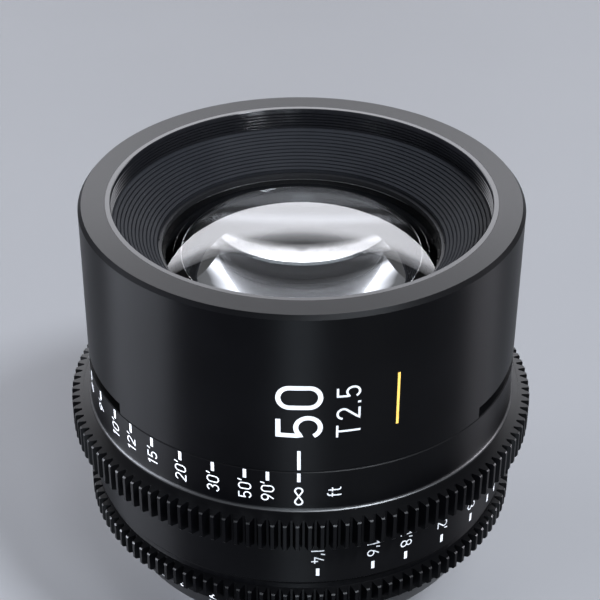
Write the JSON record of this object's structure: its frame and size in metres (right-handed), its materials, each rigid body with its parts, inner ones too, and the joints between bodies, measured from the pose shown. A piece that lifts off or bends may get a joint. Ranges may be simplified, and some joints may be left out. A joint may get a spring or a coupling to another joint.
{
  "type": "cinema prime lens",
  "caption": "Cinema prime lens with toothed focus and iris rings, ribbed front cone, inner focus cell driven by a cam, blade iris and a lug-type camera mount.",
  "frame": {"origin": "centre of the flange seat that meets the camera, on the optical axis", "axes": "+Z along the optical axis towards the subject, the distance index on the -Y side"},
  "size_m": [0.104, 0.104, 0.106],
  "materials": {
    "anodised_black": "satin black anodised",
    "thread_black": "glossy black anodised",
    "baffle_black": "matte black anodised with fine ribs",
    "inner_black": "matte black anodised",
    "optical_glass": "polished",
    "mount_steel": "fine turned",
    "pin_steel": "turned",
    "bearing_brass": "turned",
    "drive_aluminium": "turned",
    "blade_black": "matte black"
  },
  "bodies": {
    "fixed_barrel": {"front_barrel": "anodised_black", "filter_ring": "thread_black", "baffle_cone": "baffle_black", "front_retaining_ring": "inner_black", "front_cell": "inner_black", "front_element": "optical_glass", "second_element": "optical_glass", "third_element": "optical_glass", "front_spacer": "inner_black", "third_retaining_ring": "inner_black", "front_cell_screws": "pin_steel", "front_barrel_screws": "pin_steel", "main_tube": "inner_black", "focus_bearing_front": "bearing_brass", "focus_bearing_rear": "bearing_brass", "lock_ring": "inner_black", "focus_stop_pin": "pin_steel", "iris_bearing": "bearing_brass", "iris_stop_pin": "pin_steel", "iris_housing": "inner_black", "iris_retaining_ring": "inner_black", "rear_barrel": "anodised_black", "rear_barrel_screws": "pin_steel", "rear_cell": "inner_black", "rear_element_front": "optical_glass", "rear_element_middle": "optical_glass", "rear_element_back": "optical_glass", "rear_spacer": "inner_black", "rear_front_retainer": "inner_black", "rear_retaining_ring": "inner_black", "mount_flange": "mount_steel", "mount_shim": "bearing_brass", "mount_screws": "pin_steel"},
    "focus_unit": {"focus_ring": "anodised_black", "focus_cam_ring": "bearing_brass", "focus_ring_screws": "pin_steel"},
    "focus_carriage": {"focus_cell": "inner_black", "focus_element_front": "optical_glass", "focus_element_rear": "optical_glass", "focus_retaining_ring": "inner_black", "cam_followers": "pin_steel"},
    "iris_unit": {"iris_ring": "anodised_black", "iris_drive_ring": "drive_aluminium", "iris_drive_key": "pin_steel"},
    "blade_1": {"iris_blade_1": "blade_black"},
    "blade_2": {"iris_blade_2": "blade_black"},
    "blade_3": {"iris_blade_3": "blade_black"},
    "blade_4": {"iris_blade_4": "blade_black"},
    "blade_5": {"iris_blade_5": "blade_black"},
    "blade_6": {"iris_blade_6": "blade_black"},
    "blade_7": {"iris_blade_7": "blade_black"},
    "blade_8": {"iris_blade_8": "blade_black"},
    "blade_9": {"iris_blade_9": "blade_black"}
  },
  "joints": [
    {"name": "focus_turn", "type": "hinge", "parent": "fixed_barrel", "child": "focus_unit", "pos_m": [0, 0, 0.0416], "axis": [0, 0, 1], "range_deg": [0, 180]},
    {"name": "focus_slide", "type": "slide", "parent": "fixed_barrel", "child": "focus_carriage", "axis": [0, 0, 1], "range_m": [0, 0.0075]},
    {"name": "iris_turn", "type": "hinge", "parent": "fixed_barrel", "child": "iris_unit", "pos_m": [0, 0, 0.0177], "axis": [0, 0, 1], "range_deg": [0, 60]},
    {"name": "blade_1_swing", "type": "hinge", "parent": "fixed_barrel", "child": "blade_1", "pos_m": [0.0186, 0, 0.0188], "axis": [0, 0, 1], "range_deg": [0, 31]},
    {"name": "blade_2_swing", "type": "hinge", "parent": "fixed_barrel", "child": "blade_2", "pos_m": [0.01425, 0.01196, 0.0188], "axis": [0, 0, 1], "range_deg": [0, 31]},
    {"name": "blade_3_swing", "type": "hinge", "parent": "fixed_barrel", "child": "blade_3", "pos_m": [0.00323, 0.01832, 0.0188], "axis": [0, 0, 1], "range_deg": [0, 31]},
    {"name": "blade_4_swing", "type": "hinge", "parent": "fixed_barrel", "child": "blade_4", "pos_m": [-0.0093, 0.01611, 0.0188], "axis": [0, 0, 1], "range_deg": [0, 31]},
    {"name": "blade_5_swing", "type": "hinge", "parent": "fixed_barrel", "child": "blade_5", "pos_m": [-0.01748, 0.00636, 0.0188], "axis": [0, 0, 1], "range_deg": [0, 31]},
    {"name": "blade_6_swing", "type": "hinge", "parent": "fixed_barrel", "child": "blade_6", "pos_m": [-0.01748, -0.00636, 0.0188], "axis": [0, 0, 1], "range_deg": [0, 31]},
    {"name": "blade_7_swing", "type": "hinge", "parent": "fixed_barrel", "child": "blade_7", "pos_m": [-0.0093, -0.01611, 0.0188], "axis": [0, 0, 1], "range_deg": [0, 31]},
    {"name": "blade_8_swing", "type": "hinge", "parent": "fixed_barrel", "child": "blade_8", "pos_m": [0.00323, -0.01832, 0.0188], "axis": [0, 0, 1], "range_deg": [0, 31]},
    {"name": "blade_9_swing", "type": "hinge", "parent": "fixed_barrel", "child": "blade_9", "pos_m": [0.01425, -0.01196, 0.0188], "axis": [0, 0, 1], "range_deg": [0, 31]}
  ],
  "couplings": [
    {"joint": "focus_slide", "follows": "focus_turn", "m_per_rad": 0.0023873},
    {"joint": "blade_1_swing", "follows": "iris_turn", "ratio": 0.51666},
    {"joint": "blade_2_swing", "follows": "iris_turn", "ratio": 0.51666},
    {"joint": "blade_3_swing", "follows": "iris_turn", "ratio": 0.51666},
    {"joint": "blade_4_swing", "follows": "iris_turn", "ratio": 0.51666},
    {"joint": "blade_5_swing", "follows": "iris_turn", "ratio": 0.51666},
    {"joint": "blade_6_swing", "follows": "iris_turn", "ratio": 0.51666},
    {"joint": "blade_7_swing", "follows": "iris_turn", "ratio": 0.51666},
    {"joint": "blade_8_swing", "follows": "iris_turn", "ratio": 0.51666},
    {"joint": "blade_9_swing", "follows": "iris_turn", "ratio": 0.51666}
  ]
}
